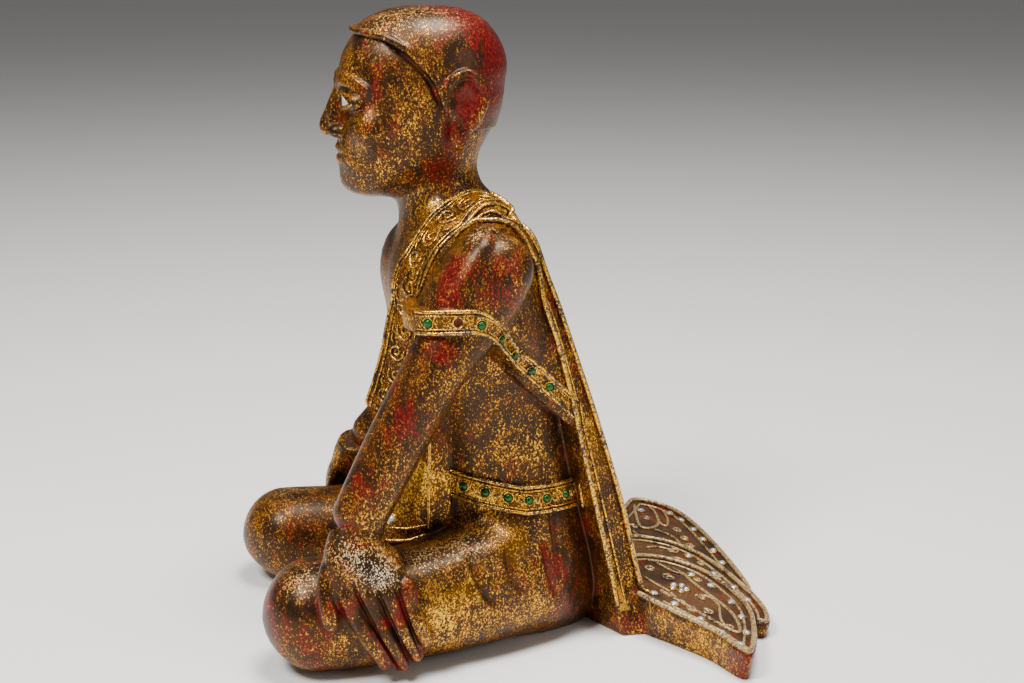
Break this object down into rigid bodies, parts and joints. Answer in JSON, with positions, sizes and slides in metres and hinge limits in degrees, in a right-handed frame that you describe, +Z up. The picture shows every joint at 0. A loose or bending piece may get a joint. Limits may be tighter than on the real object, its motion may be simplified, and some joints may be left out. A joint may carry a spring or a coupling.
{
  "type": "seated monk figure",
  "caption": "Carved wooden figure of a kneeling monk with hands on knees, robe train spread behind, lacquered, gilded and set with small glass stones.",
  "frame": {"origin": "on the floor, under the middle of the figure's length and breadth", "axes": "+Z up, the figure faces -Y, its own left side is +X"},
  "size_m": [0.3288, 0.3876, 0.45],
  "materials": {
    "gilded_lacquer": "dark brown and red lacquer under rubbed, speckled gold leaf",
    "green_glass": "faceted green glass stones",
    "clear_glass": "clear glass stones with a silvered back"
  },
  "bodies": {
    "root": {"monk_figure": "gilded_lacquer", "green_glass_stone_hem_1": "green_glass", "green_glass_stone_hem_3": "green_glass", "green_glass_stone_hem_4": "green_glass", "green_glass_stone_hem_5": "green_glass", "green_glass_stone_hem_6": "green_glass", "green_glass_stone_hem_7": "green_glass", "green_glass_stone_belt_left_1": "green_glass", "green_glass_stone_belt_left_2": "green_glass", "green_glass_stone_belt_left_3": "green_glass", "green_glass_stone_belt_left_4": "green_glass", "green_glass_stone_belt_left_5": "green_glass", "green_glass_stone_belt_left_6": "green_glass", "green_glass_stone_belt_right_1": "green_glass", "green_glass_stone_belt_right_2": "green_glass", "green_glass_stone_belt_right_3": "green_glass", "green_glass_stone_belt_right_4": "green_glass", "green_glass_stone_belt_right_5": "green_glass", "green_glass_stone_belt_right_6": "green_glass", "clear_glass_stone_lap": "clear_glass", "clear_glass_stone_front_leaf_1": "clear_glass", "clear_glass_stone_front_leaf_2": "clear_glass", "clear_glass_stone_front_leaf_3": "clear_glass", "clear_glass_stone_front_leaf_4": "clear_glass", "clear_glass_stone_front_leaf_5": "clear_glass", "clear_glass_stone_front_leaf_6": "clear_glass", "clear_glass_stone_front_leaf_7": "clear_glass", "clear_glass_stone_front_leaf_8": "clear_glass", "clear_glass_stone_front_leaf_9": "clear_glass", "clear_glass_stone_front_leaf_10": "clear_glass", "clear_glass_stone_flower_1": "clear_glass", "clear_glass_stone_flower_2": "clear_glass", "clear_glass_stone_flower_3": "clear_glass", "clear_glass_stone_flower_4": "clear_glass", "clear_glass_stone_flower_5": "clear_glass", "clear_glass_stone_middle_leaf_1": "clear_glass", "clear_glass_stone_middle_leaf_2": "clear_glass", "clear_glass_stone_middle_leaf_3": "clear_glass", "clear_glass_stone_middle_leaf_4": "clear_glass", "clear_glass_stone_rear_leaf_1": "clear_glass", "clear_glass_stone_rear_leaf_2": "clear_glass", "clear_glass_stone_rear_leaf_3": "clear_glass", "clear_glass_stone_rear_leaf_4": "clear_glass", "clear_glass_stone_rear_leaf_5": "clear_glass", "clear_glass_stone_rear_leaf_6": "clear_glass", "clear_glass_stone_rear_leaf_7": "clear_glass"}
  },
  "joints": []
}
